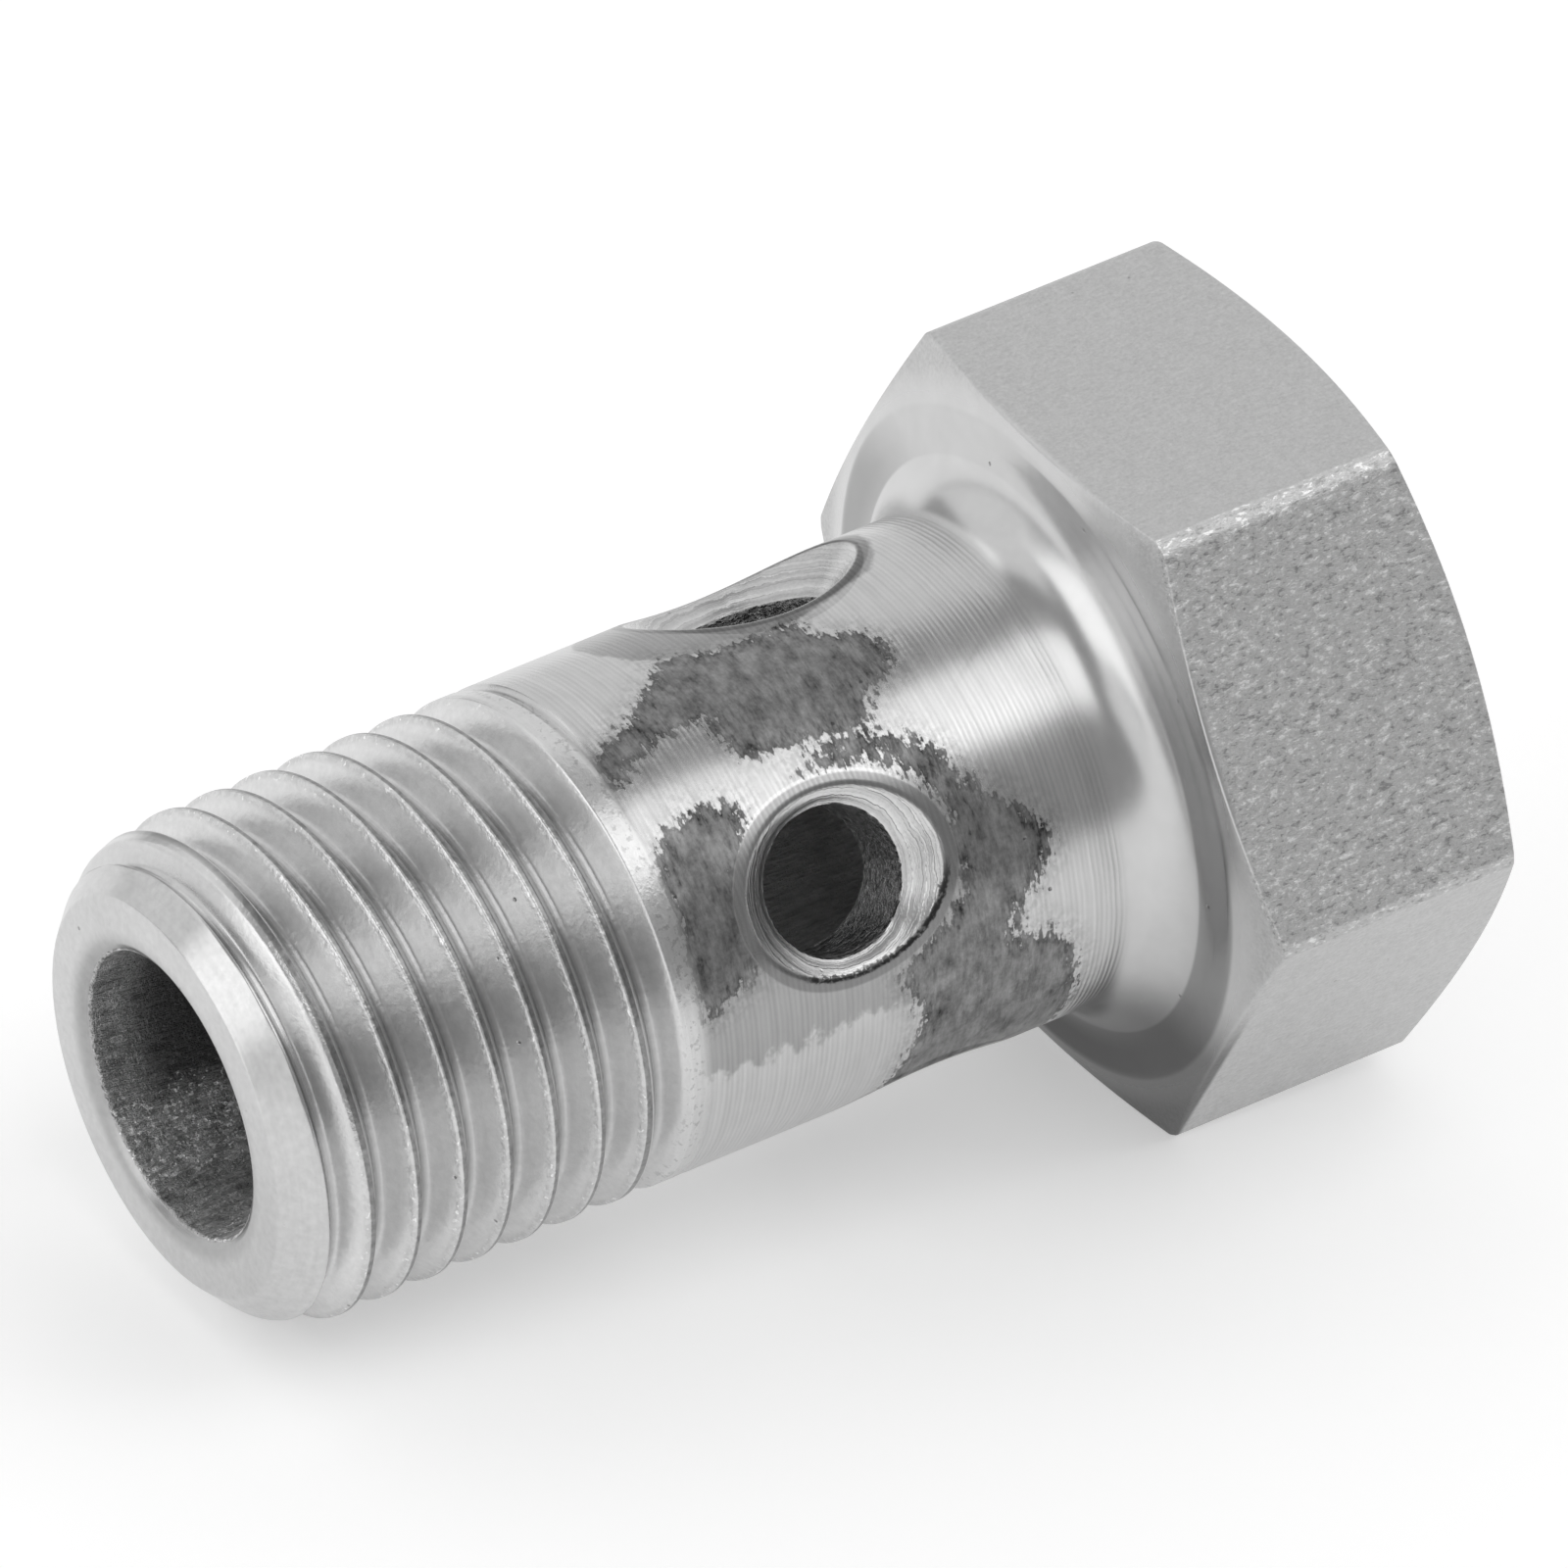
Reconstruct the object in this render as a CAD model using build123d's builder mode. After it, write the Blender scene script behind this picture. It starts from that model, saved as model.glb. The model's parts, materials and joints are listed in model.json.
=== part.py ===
from build123d import *
import os
from math import atan, degrees, radians, sqrt, tan

# A hollow bolt that clamps a ring fitting, turned from one hexagon bar. Oil enters the bore at the
# thread end and leaves through two cross holes in the shank, into the ring under the head.
# Sizes are in millimetres and angles in degrees.

# Hexagon head
across_flats = 14.0
head_height = 6.0
corner_break = 0.14  # small flat along each long corner of the bar
seat_circle = 13.3  # outside of the flat ring under the head
seat_ring = 0.475  # width of that ring
seat_bevel_angle = 15.0  # slope of the turned corners below the flats
crown_circle = 13.2  # flat disc on top of the head
crown_bevel_angle = 20.0  # slope of the turned corners above the flats

# Shank
thread_diameter = 10.0  # M10 x 1, right hand, at the crests
thread_length = 8.75  # from the end face
plain_diameter = 9.9  # between the thread and the head
thread_shoulder_angle = 30.0  # slope between the plain length and the thread
shank_length = 19.15  # from the seat to the end face
head_fillet = (seat_circle - plain_diameter) / 2 - seat_ring  # hollow corner inside that ring
lead_in = 0.9  # taper in front of the full thread
lead_in_diameter = 9.4  # where the taper meets the end's bevel
end_diameter = 7.8  # end face, outside
end_bevel = 0.65  # length of the end's bevel along the bolt

# Blind bore
bore_diameter = 5.7
bore_depth = 16.35  # at full diameter, from the end face
drill_point_angle = 118.0
bore_lip = 0.15  # broken edge at the mouth

# Cross holes, each drilled through both walls and countersunk at both mouths
cross_diameter = 2.85
lower_countersink_diameter = 4.26  # where the cone meets the top line of the shank
upper_countersink_diameter = 4.8  # sunk a little deeper
countersink_angle = 100.0
cutter_overhang = 0.2  # the cutter's wide end stands this far clear of the shank
mouth_rounding = 0.6  # softened rim between the cone and the shank
lower_hole_from_seat = 6.86
upper_hole_from_seat = 4.9
lower_hole_turn = 29.6  # its near mouth is turned up this much from the level
hole_spread = 90.0  # turn between the two holes

# The bolt lies on one flat and on the end of its thread. The head is the thicker end,
# so the axis rises a little from the thread to the head.
seat_bevel_at_flat = (across_flats - seat_circle) / 2 * tan(radians(seat_bevel_angle))
rest_drop = (across_flats - thread_diameter) / 2
rest_run = shank_length - end_bevel - lead_in + seat_bevel_at_flat
rest_angle = degrees(atan(rest_drop / rest_run))

# The seat plane looks along the bolt towards the head, and its x points away from the
# flat that the bolt lies on. The half section has x away from the axis, y to the head.
seat = Plane(origin=(0, 0, 0), x_dir=(0, 0, 1), z_dir=(1, 0, 0)).rotated((0, -rest_angle, 0))
half_section = Plane(origin=seat.origin, x_dir=seat.x_dir, z_dir=-seat.y_dir)
bolt_axis = Axis(seat.origin, seat.z_dir)


def mouth(from_seat, turn):
    """Plane of the cutter's wide end, just outside the plain shank, looking outwards."""
    centre = seat.origin - seat.z_dir * from_seat
    outward = seat.x_dir.rotate(bolt_axis, 90 - turn)
    return Plane(centre, x_dir=seat.z_dir, z_dir=outward).offset(plain_diameter / 2 + cutter_overhang)


def off_axis(edge):
    """Distance from the bolt's axis to the start of an edge."""
    start = (edge @ 0) - seat.origin
    return (start - seat.z_dir * start.dot(seat.z_dir)).length


def on_plain_shank(edge):
    """Whether an edge starts on the plain shank's surface."""
    return abs(off_axis(edge) - plain_diameter / 2) < 1e-4


with BuildPart() as banjo_bolt:
    # Head: a length of hexagon bar with its long corners broken
    with BuildSketch(seat):
        RegularPolygon(across_flats / 2, side_count=6, major_radius=False, rotation=30)
    extrude(amount=head_height)
    chamfer(banjo_bolt.edges().filter_by(bolt_axis), length=corner_break)

    # Both ends of the head are turned to a flat circle and a cone that takes the corners off
    blank_radius = across_flats / sqrt(3)
    seat_bevel = (blank_radius - seat_circle / 2) * tan(radians(seat_bevel_angle))
    crown_bevel = (blank_radius - crown_circle / 2) * tan(radians(crown_bevel_angle))
    with BuildSketch(half_section):
        with BuildLine():
            Polyline(
                (0, 0),
                (seat_circle / 2, 0),
                (blank_radius, seat_bevel),
                (blank_radius, head_height - crown_bevel),
                (crown_circle / 2, head_height),
                (0, head_height),
                close=True,
            )
        make_face()
    revolve(axis=bolt_axis, mode=Mode.INTERSECT)

    # Shank: plain below the head, a little thicker where it is threaded, bevelled at its end
    thread_start = thread_length - shank_length
    shoulder_rise = (thread_diameter - plain_diameter) / 2
    shoulder_run = shoulder_rise / tan(radians(thread_shoulder_angle))
    with BuildSketch(half_section):
        with BuildLine():
            Polyline(
                (0, 0),
                (plain_diameter / 2, 0),
                (plain_diameter / 2, thread_start + shoulder_run),
                (thread_diameter / 2, thread_start),
                (thread_diameter / 2, lead_in + end_bevel - shank_length),
                (lead_in_diameter / 2, end_bevel - shank_length),
                (end_diameter / 2, -shank_length),
                (0, -shank_length),
                close=True,
            )
        make_face()
    revolve(axis=bolt_axis)
    neck = banjo_bolt.edges().filter_by(GeomType.CIRCLE).filter_by(on_plain_shank).sort_by(bolt_axis)[-1]
    fillet(neck, radius=head_fillet)

    # Blind bore with the cone that its drill leaves, and a broken edge at its mouth
    bore_end = bore_depth - shank_length
    drill_point = bore_diameter / 2 / tan(radians(drill_point_angle / 2))
    with BuildSketch(half_section):
        with BuildLine():
            Polyline(
                (0, -shank_length),
                (bore_diameter / 2 + bore_lip, -shank_length),
                (bore_diameter / 2, bore_lip - shank_length),
                (bore_diameter / 2, bore_end),
                (0, bore_end + drill_point),
                close=True,
            )
        make_face()
    revolve(axis=bolt_axis, mode=Mode.SUBTRACT)

    # Cross holes: each mouth is drilled through the wall and on by half the hole's own width,
    # so that the drill's flat end is wholly inside the bore
    drill_depth = cutter_overhang + (plain_diameter - bore_diameter + cross_diameter) / 2
    cutter_widening = cutter_overhang * tan(radians(countersink_angle / 2))
    lower_hole = (lower_hole_from_seat, lower_hole_turn, lower_countersink_diameter)
    upper_hole = (upper_hole_from_seat, lower_hole_turn + hole_spread, upper_countersink_diameter)
    for from_seat, turn, rim_diameter in (lower_hole, upper_hole):
        with Locations(mouth(from_seat, turn), mouth(from_seat, turn + 180)):
            CounterSinkHole(
                radius=cross_diameter / 2,
                counter_sink_radius=rim_diameter / 2 + cutter_widening,
                counter_sink_angle=countersink_angle,
                depth=drill_depth,
            )
        rims = banjo_bolt.edges(Select.LAST).filter_by(GeomType.BSPLINE).filter_by(on_plain_shank)
        fillet(rims, radius=mouth_rounding)

banjo_bolt.part.label = "banjo_bolt"

os.makedirs("parts", exist_ok=True)
export_step(banjo_bolt.part, "parts/banjo_bolt.step")
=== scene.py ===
# %% [markdown]
# # A banjo bolt
# A banjo bolt is a hollow screw: oil comes up its bore and leaves through cross holes into a ring
# fitting. One packed CAD solid fixes its size and its place. This script shows it as one detailed
# surface with a true thread, and gives it a finish. First the packed solid is loaded.

# %% Load the packed bolt
import json
import math
import bpy
import numpy as np
from mathutils import Matrix, Vector

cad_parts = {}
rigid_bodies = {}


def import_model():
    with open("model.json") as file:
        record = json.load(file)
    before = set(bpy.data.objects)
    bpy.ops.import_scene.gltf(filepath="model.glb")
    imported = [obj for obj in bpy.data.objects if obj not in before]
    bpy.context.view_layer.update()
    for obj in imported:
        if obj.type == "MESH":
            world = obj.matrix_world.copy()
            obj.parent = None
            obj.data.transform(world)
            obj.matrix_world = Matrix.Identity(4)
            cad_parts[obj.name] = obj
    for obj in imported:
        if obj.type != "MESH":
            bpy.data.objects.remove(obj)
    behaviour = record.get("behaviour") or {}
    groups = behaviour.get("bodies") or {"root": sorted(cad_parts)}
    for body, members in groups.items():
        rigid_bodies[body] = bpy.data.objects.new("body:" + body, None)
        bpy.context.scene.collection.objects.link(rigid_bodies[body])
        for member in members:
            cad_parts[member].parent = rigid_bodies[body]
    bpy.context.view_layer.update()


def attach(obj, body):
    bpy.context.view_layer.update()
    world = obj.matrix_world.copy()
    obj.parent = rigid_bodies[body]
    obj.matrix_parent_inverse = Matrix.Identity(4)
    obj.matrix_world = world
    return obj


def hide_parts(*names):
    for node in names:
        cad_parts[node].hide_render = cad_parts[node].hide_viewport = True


for left_over in list(bpy.data.objects):
    bpy.data.objects.remove(left_over)
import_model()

# %% [markdown]
# ## The bolt's own directions
# The bolt lies on one flat of its head and on the end of its thread, so its axis rises a little.
# Every shape below is written with three numbers that suit a turned part: the distance from the
# axis, the turn about it, and the distance along it from the seat. One function turns them into
# points, so nothing is ever rotated by hand.

# %% Axis, up and side
REST_ANGLE = math.radians(6.449)
along = np.array([math.cos(REST_ANGLE), 0, math.sin(REST_ANGLE)])
away = np.array([-math.sin(REST_ANGLE), 0, math.cos(REST_ANGLE)])
aside = np.cross(along, away)


def place(radius, turn, z):
    """Points in metres: z along the axis, plus radius in the direction that lies turn degrees
    from the top of the bolt. The three arrays are in mm and degrees, and may have any shape."""
    radius, turn, z = np.broadcast_arrays(*np.atleast_1d(radius, turn, z))
    t = np.radians(turn)
    outward = np.cos(t)[..., None] * away + np.sin(t)[..., None] * aside
    return 0.001 * (z[..., None] * along + radius[..., None] * outward)


print("the seat's centre:", place(0, 0, 0)[0], "and the end's:", place(0, 0, -19)[0].round(5))

# %% [markdown]
# ## A skin made of grids
# A mesh is only points and faces. Here each stretch of the bolt is a grid: rows of points that run
# round the axis, one row after another. A small class collects the points, hands back their numbers
# as arrays, and joins rows of numbers with four-sided faces. Where a row shrinks to one point, two
# corners of a face are the same point, and that face becomes a triangle.

# %% Collect points and faces
class Skin:
    """Points and faces of one closed surface."""

    def __init__(self):
        self.points, self.faces, self.count = [], [], 0

    def add(self, radius, turn, z):
        """Adds the points and returns their numbers, in an array of the same shape."""
        xyz = place(radius, turn, z)
        numbers = self.count + np.arange(xyz[..., 0].size).reshape(xyz.shape[:-1])
        self.points.append(xyz.reshape(-1, 3))
        self.count += numbers.size
        return numbers

    def join(self, rows):
        """Faces between neighbouring rows of a two-dimensional array of point numbers: each takes
        two points of one row and the two beside them in the next, in the order that faces outwards."""
        a, b, c, d = rows[:-1, :-1], rows[:-1, 1:], rows[1:, 1:], rows[1:, :-1]
        self.faces.append(np.stack([a, b, c, d], axis=-1).reshape(-1, 4))

    def mesh(self, name):
        """The mesh: faces with four different corners stay, and those with two equal
        neighbours lose one of them."""
        mesh = bpy.data.meshes.new(name)
        quads = np.concatenate(self.faces)
        same = quads == np.roll(quads, -1, axis=1)
        whole = quads[~same.any(axis=1)]
        part = quads[same.sum(axis=1) == 1]
        keep = ~same[same.sum(axis=1) == 1]
        triangles = part[keep].reshape(-1, 3)
        corners = np.concatenate([whole.ravel(), triangles.ravel()]).astype(np.int32)
        sizes = np.concatenate([np.full(len(whole), 4), np.full(len(triangles), 3)])
        starts = np.concatenate([[0], np.cumsum(sizes)[:-1]]).astype(np.int32)
        points = np.concatenate(self.points).astype(np.float32)
        mesh.vertices.add(len(points))
        mesh.vertices.foreach_set("co", points.ravel())
        mesh.loops.add(len(corners))
        mesh.loops.foreach_set("vertex_index", corners)
        mesh.polygons.add(len(sizes))
        mesh.polygons.foreach_set("loop_start", starts)
        mesh.polygons.foreach_set("use_smooth", np.ones(len(sizes), bool))
        mesh.update(calc_edges=True)
        mesh.validate()
        return mesh


skin = Skin()
print("points before the first grid:", skin.count)

# %% [markdown]
# ## Rows that go round
# Most rows have the same number of points, evenly spaced. The number can be divided by four, for
# the four mouths of the cross holes, and by six, for the hexagon. The first point's number is
# repeated at the end of a row, which closes the ring.

# %% Even turns and closed rings
AROUND = 192
FIRST_TURN = 15.4  # degrees, halfway between two mouths
even_turns = FIRST_TURN + np.arange(AROUND) * 360 / AROUND


def closed(rows):
    """Rows of point numbers with the first column repeated as the last."""
    return np.concatenate([rows, rows[:, :1]], axis=1)


def bend(start, corner, end, steps):
    """Points of a rounded corner: a quadratic curve that leaves the start towards the corner and
    arrives at the end from it. With t from 0 to 1 a point is (1-t)^2 start + 2t(1-t) corner + t^2 end."""
    t = np.linspace(0, 1, steps + 1)
    t = t.reshape((-1,) + (1,) * np.ndim(start))
    return (1 - t) ** 2 * np.asarray(start) + 2 * t * (1 - t) * np.asarray(corner) + t ** 2 * np.asarray(end)


def rounded(path, legs, steps=3):
    """A path of corners, an array (corners, 2, ...) of distance and height, with each inner corner
    rounded: the curve starts and ends one leg away from the corner along its two sides."""
    path = np.asarray(path, float)
    rows = [path[:1]]
    for k in range(1, len(path) - 1):
        before, after = path[k - 1] - path[k], path[k + 1] - path[k]
        before = before / np.linalg.norm(before, axis=0)
        after = after / np.linalg.norm(after, axis=0)
        rows.append(bend(path[k] + legs[k - 1] * before, path[k], path[k] + legs[k - 1] * after, steps))
    rows.append(path[-1:])
    return np.concatenate(rows)


print("a rounded corner:", rounded([(0, 0), (1, 0), (1, 1)], [0.2]).round(3).tolist())

# %% [markdown]
# ## Sizes
# These are the sizes of the packed solid, in millimetres, with heights measured from the seat. The
# thread's crests are drawn a little under the solid's 5 mm, as on the photographed bolt, and stay
# inside the solid's box.

# %% Sizes of the turned part
PLAIN, CREST, BORE = 4.95, 4.945, 2.85  # radii of the plain shank, the crests and the bore
END, END_RADIUS = -19.15, 3.97  # height and outer radius of the end face
LIP_HEIGHT, LIP_WIDTH = 0.17, 0.24  # broken edge at the bore's mouth
LIP_START = END + 0.22
BORE_END, BORE_POINT = -2.8, -2.8 + BORE / math.tan(math.radians(59))
MOUTH_HIGH = -1.5  # the level ring above the cross holes
BORE_LOW, BORE_HIGH = -9.0, BORE_END  # stretch of the bore that the cross holes open into
print("wall between shank and bore:", round(PLAIN - BORE, 2), "mm")

# %% [markdown]
# ## The thread as a function
# A metric thread is a V groove wound round the shank, with a pitch of 1 mm here. Its crest line
# climbs one pitch in one turn. The distance from the nearest crest says how deep the groove is: flat
# on the narrow crest, then a flank at 60 degrees, then a round root. Towards the head the cutter
# comes out slowly, so the groove gets shallow and narrow. Towards the end the turned taper and bevel
# cut it off.

# %% Depth of the thread's groove
CREST_HALF = 0.0625  # half the flat width of a crest
ROOT_RADIUS = 0.144
ROOT_CENTRE = (0.5 - CREST_HALF) * math.sqrt(3) - 2 * ROOT_RADIUS
CREST_HEIGHT, CREST_TURN = -17.06, -42.4  # one point that lies on a crest
RUN_OUT_FROM, RUN_OUT_RISE = -11.35, 0.62  # where the cutter starts to back out, and how far in 1 mm
SHOULDER_FROM, SHOULDER_LENGTH = -11, 0.6
TAPER_FROM, TAPER_DROP, TAPER_LENGTH = -17.6, 0.3, 0.9
BEVEL_SLOPE = 1.06
GROOVE_EDGE, TAPER_EDGE, CUT_EDGE = 0.022, 0.05, 0.02  # how far each edge is softened


def crest_line(turn):
    """Height of one crest line: it climbs 1 mm in 360 degrees."""
    return CREST_HEIGHT + (turn - CREST_TURN) / 360


def soft_max(a, b, softness):
    """The larger of two values with a rounded change-over: half of a + b + sqrt((a-b)^2 + s^2)."""
    return 0.5 * (a + b + np.sqrt((a - b) ** 2 + softness ** 2))


def groove_depth(turn, z):
    """Depth below the crests. x is the distance from the nearest crest. The flank is
    (x - half a crest) times the root of 3, the root is an arc, and what the cutter has
    backed out by is taken off before everything below zero is dropped."""
    phase = (z - crest_line(turn)) % 1.0
    x = np.minimum(phase, 1 - phase)
    flank = (x - CREST_HALF) * math.sqrt(3)
    arc = ROOT_CENTRE + np.sqrt(np.maximum(ROOT_RADIUS ** 2 - (0.5 - x) ** 2, 0))
    depth = np.where(0.5 - x < ROOT_RADIUS * math.cos(math.radians(30)), arc, flank)
    groove_at = z - phase + 0.5
    backed_out = np.clip(groove_at - RUN_OUT_FROM, 0, 1)
    return soft_max(depth - RUN_OUT_RISE * backed_out, 0, GROOVE_EDGE)


print("depth in a root:", round(float(groove_depth(0.0, crest_line(0.0) + 2.5)), 3))


# %% Radius of the threaded shank
def thread_radius(turn, z):
    """Distance from the axis: the crest less the groove, but never more than the taper and
    the bevel at the end allow. Each is a straight line in z."""
    shoulder = np.clip((z - SHOULDER_FROM) / SHOULDER_LENGTH, 0, 1)
    ridge = CREST + (PLAIN - CREST) * shoulder - groove_depth(turn, z)
    taper = CREST - (TAPER_FROM - z) * TAPER_DROP / TAPER_LENGTH
    bevel = END_RADIUS + (z - END) * BEVEL_SLOPE
    return -soft_max(-ridge, soft_max(-taper, -bevel, TAPER_EDGE), CUT_EDGE)


print("radius on a crest:", round(float(thread_radius(0.0, crest_line(0.0) + 3)), 3))

# %% [markdown]
# ## Inside: the drilled bore
# The skin starts at the point that the drill left at the bottom of the bore, and comes out along
# the bore towards the end. The four walls around the cross holes are left open for now.

# %% Bottom of the bore, and the bore's outer stretch
bore_tip = skin.add(0, 0, BORE_POINT)
cone = np.linspace(0.02, 1, 7)[:, None]
bottom = skin.add(BORE * cone, even_turns, BORE_POINT + (BORE_END - BORE_POINT) * cone)
skin.join(closed(np.concatenate([np.full((1, AROUND), bore_tip[0]), bottom])))
bore_high_ring = bottom[-1]
bore_heights = np.concatenate([np.linspace(BORE_LOW, END + 0.4, 9), [LIP_START]])
bore_wall = skin.add(BORE, even_turns, bore_heights[:, None])
bore_low_ring = bore_wall[0]
skin.join(closed(bore_wall))
print("points in the bore:", skin.count)

# %% [markdown]
# ## The end face
# The lip of the bore, the flat ring and the start of the bevel are one profile of corners, each
# rounded a little, spun round the axis.

# %% Lip, end face and the rows of the taper
FACE_MIDDLE, RIM_START = 3.4, END_RADIUS - 0.05
end_corners = [(BORE, LIP_START), (BORE, END + LIP_HEIGHT), (BORE + LIP_WIDTH, END),
               (FACE_MIDDLE, END), (RIM_START, END)]
end_profile = rounded(end_corners, [0.03, 0.1, 0.01])
end_face = skin.add(end_profile[1:, :1], even_turns, end_profile[1:, 1:])
SPIRAL_LOW = float(crest_line(FIRST_TURN)) - 1  # where the wound grid starts
rim_curve = bend((RIM_START, END), (END_RADIUS, END), (END_RADIUS + 0.035, END + 0.033), 4)[1:]
end_rim = skin.add(rim_curve[:, :1], even_turns, rim_curve[:, 1:])
taper_heights = np.linspace(END + 0.06, SPIRAL_LOW, 36)[:, None]
taper = skin.add(thread_radius(even_turns, taper_heights), even_turns, taper_heights)
skin.join(closed(np.concatenate([bore_wall[-1:], end_face, end_rim, taper])))
print("the wound grid starts at", round(SPIRAL_LOW, 3))

# %% [markdown]
# ## A grid that is wound like the thread
# If the rows went straight round, the crests would cross them and look like stairs. So the rows
# climb with the thread: one row lies on the crest all the way up, and the others lie at fixed
# steps across the groove. After one turn the last row is the first row of the next turn, and both
# use the same points. Below and above, a wedge of rows fills the gap to a level ring.

# %% The wound grid
# Where the rows lie across one pitch, closer together at the crest and in the root
ACROSS = np.array([0, 0.035, 0.055, 0.07, 0.088, 0.115, 0.2, 0.3, 0.365, 0.41, 0.455,
                   0.5, 0.545, 0.59, 0.635, 0.7, 0.8, 0.885, 0.912, 0.93, 0.945, 0.965])
ROWS = len(ACROSS)
TURNS = 7
steps = np.arange(TURNS * AROUND + 1)
spiral_z = (SPIRAL_LOW + steps[:, None] / AROUND + ACROSS).ravel()[1:]
spiral_turn = np.repeat(FIRST_TURN + steps * 360 / AROUND, ROWS)[1:]
spiral = skin.add(thread_radius(spiral_turn, spiral_z), spiral_turn, spiral_z)
spiral = np.concatenate([taper[-1, :1], spiral]).reshape(-1, ROWS)  # its first point is the taper's
top_z = SPIRAL_LOW + TURNS + np.arange(1, AROUND) / AROUND
top_edge = skin.add(thread_radius(even_turns[1:], top_z), even_turns[1:], top_z)
MOUTH_LOW = SPIRAL_LOW + TURNS + 1  # the level ring below the cross holes
mouth_low_ring = skin.add(PLAIN, even_turns, MOUTH_LOW)
last_row = np.concatenate([spiral[AROUND:, 0], top_edge, mouth_low_ring[:1]])
skin.join(np.concatenate([spiral, last_row[:, None]], axis=1).T)
print("wound grid:", spiral.shape, "from", round(SPIRAL_LOW, 3), "to", round(MOUTH_LOW, 3))

# %% Wedges below and above the wound grid
share = np.arange(1, AROUND) / AROUND
low_z = SPIRAL_LOW + ACROSS[1:, None] * share
low_wedge = skin.add(thread_radius(even_turns[1:], low_z), even_turns[1:], low_z)
low_corner = np.full((ROWS - 1, 1), spiral[0, 0])
low_wedge = np.concatenate([low_corner, low_wedge, spiral[0, 1:, None]], axis=1)
skin.join(np.concatenate([closed(taper[-1:]), low_wedge, spiral[None, :AROUND + 1, 0]]))
high_z = top_z + ACROSS[1:, None] * (1 - share)
high_wedge = skin.add(thread_radius(even_turns[1:], high_z), even_turns[1:], high_z)
high_corner = np.full((ROWS - 1, 1), mouth_low_ring[0])
high_wedge = np.concatenate([spiral[-1, 1:, None], high_wedge, high_corner], axis=1)
high_edge = np.concatenate([spiral[-1:, 0], top_edge, mouth_low_ring[:1]])
skin.join(np.concatenate([high_edge[None], high_wedge, closed(mouth_low_ring[None])]))
print("points up to the cross holes:", skin.count)

# %% [markdown]
# ## The cross holes
# Each quarter of the plain shank holds one mouth. Its grid starts as a rectangle on the shank, turns
# into a circle round the mouth, rolls over the softened rim, goes down the countersink and the drilled
# hole, and opens again into a rectangle on the bore. So one grid makes the whole passage.

# %% Sizes and places of the mouths
QUARTER = AROUND // 4
CROSS = 1.425  # radius of the drilled hole
STEEP = math.radians(40)  # the cone's slope
RISE = math.tan(STEEP)
UPHILL = np.array([math.cos(STEEP), math.sin(STEEP)])[:, None]  # the way up the cone
LOWER, UPPER = (-6.86, 2.13), (-4.9, 2.4)  # height, and radius of the countersink's rim
LOWER_TURN, UPPER_TURN = 60.4, 150.4  # of the two mouths that face the camera
MOUTHS = [(LOWER_TURN, *LOWER), (UPPER_TURN, *UPPER), (LOWER_TURN + 180, *LOWER), (UPPER_TURN + 180, *UPPER)]
# How far the rim, the cone's foot and the edge on the bore are rounded
RIM_LEG, DRILL_LEG, BURR = 0.25, 0.05, 0.04
RIM_ROWS, BURR_ROWS = 12, 4  # rows that run as the rim does, and rows that run as the edge on the bore
NEAR_POWER, FAR_POWER = 1.35, 1.3  # above 1, rows lie closer together near the hole
print("turns of the mouths in degrees:", [round(turn, 1) for turn, *_ in MOUTHS])


# %% The rectangle round a mouth
def frame_of(centre_z, low, high, radius):
    """The rectangle's turns and heights, measured from the mouth's centre, once round it, and the
    direction of each point as an angle from the bolt's axis."""
    u = np.arange(QUARTER) / QUARTER
    turn = np.concatenate([u, np.ones(QUARTER), 1 - u, np.zeros(QUARTER)]) * 90 - 45
    z = np.concatenate([np.zeros(QUARTER), u, np.ones(QUARTER), 1 - u]) * (high - low) + low - centre_z
    return turn, z, np.arctan2(radius * np.radians(turn), z)


def unwrap_pair(a, b):
    """The second set of angles, moved by whole turns next to the first."""
    return a + (b - a + math.pi) % (2 * math.pi) - math.pi


print("directions of the first three points, in radians:",
      frame_of(LOWER[0], MOUTH_LOW, MOUTH_HIGH, PLAIN)[2][:3].round(3))


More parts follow.
